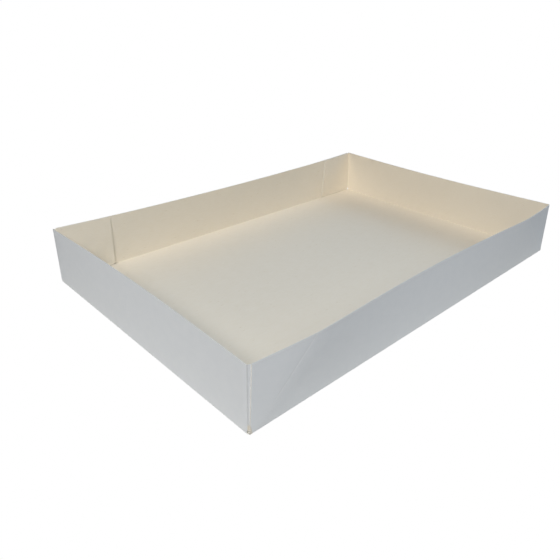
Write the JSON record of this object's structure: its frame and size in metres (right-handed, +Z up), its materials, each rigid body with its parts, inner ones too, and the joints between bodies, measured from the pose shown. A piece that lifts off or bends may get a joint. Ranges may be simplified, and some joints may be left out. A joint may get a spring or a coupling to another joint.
{
  "type": "cake box",
  "caption": "Open shallow rectangular tray folded from one sheet of white board, with glued corner flaps inside the long walls and slanting creases beside the corners.",
  "frame": {"origin": "centre of the base, on its underside, the surface that the tray stands on", "axes": "+X along the two long walls, +Y across to the back wall, +Z up out of the open top"},
  "size_m": [0.375, 0.2528, 0.0475],
  "materials": {
    "board": "white clay-coated face outside, uncoated cream back inside"
  },
  "bodies": {
    "root": {"tray": "board"}
  },
  "joints": []
}
